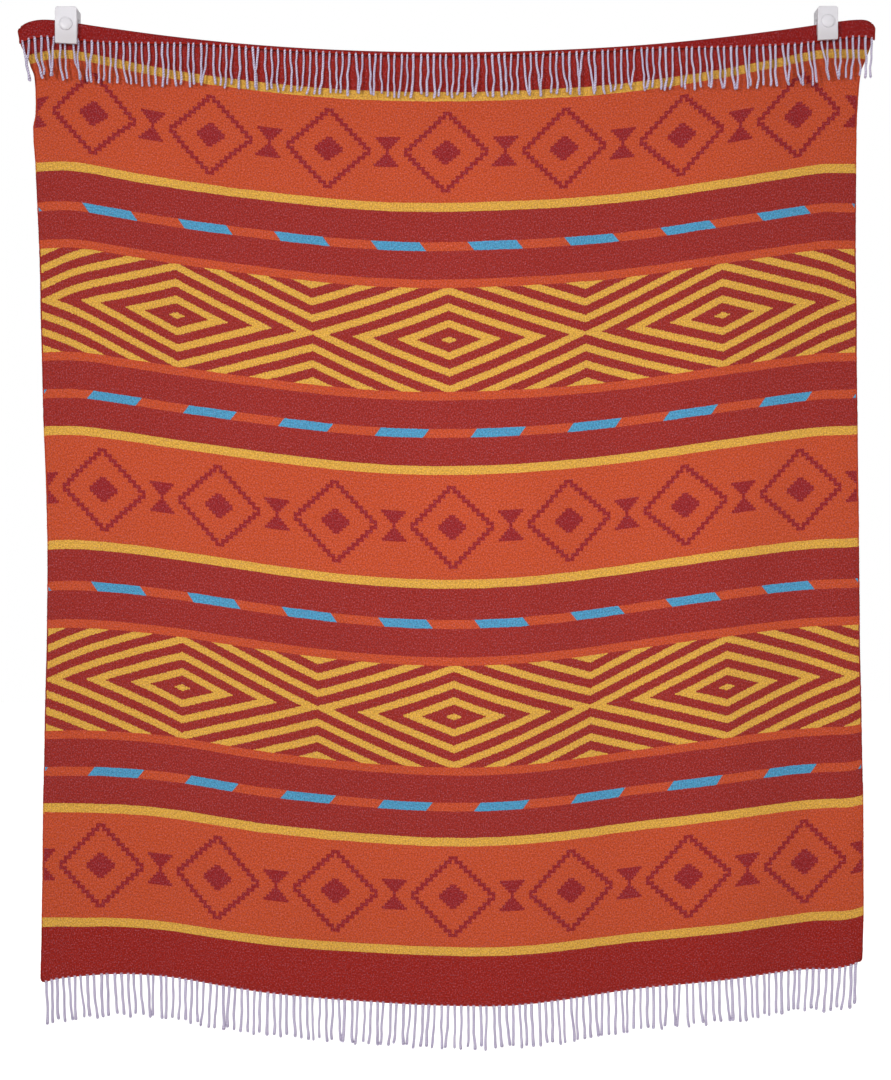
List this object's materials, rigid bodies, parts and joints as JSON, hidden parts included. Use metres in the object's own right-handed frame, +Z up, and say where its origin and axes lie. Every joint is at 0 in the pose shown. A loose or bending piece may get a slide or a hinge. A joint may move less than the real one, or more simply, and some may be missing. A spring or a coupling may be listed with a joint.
{
  "type": "throw blanket hung from two wall clips",
  "caption": "Fringed wool throw hung face on from two wall clips, its top end folded to the front so both fringes hang down, with woven stripes and bands.",
  "frame": {"origin": "on the wall plane, midway between the backs of the two clips", "axes": "+Z up, the wall is the plane y = 0 and the blanket's front faces -Y, +X to the right seen from the front"},
  "size_m": [1.2707, 0.0421, 1.5398],
  "materials": {
    "woven_wool": "brushed woven wool, deep red ground with orange, gold and blue bands",
    "fringe_yarn": "twisted wool yarn, off-white with a lavender cast",
    "clip_plastic": "satin off-white moulded plastic"
  },
  "bodies": {
    "root": {"cloth": "woven_wool", "fringe_top": "fringe_yarn", "fringe_bottom": "fringe_yarn", "clip_left": "clip_plastic", "clip_left_button": "clip_plastic", "clip_right": "clip_plastic", "clip_right_button": "clip_plastic"}
  },
  "joints": []
}
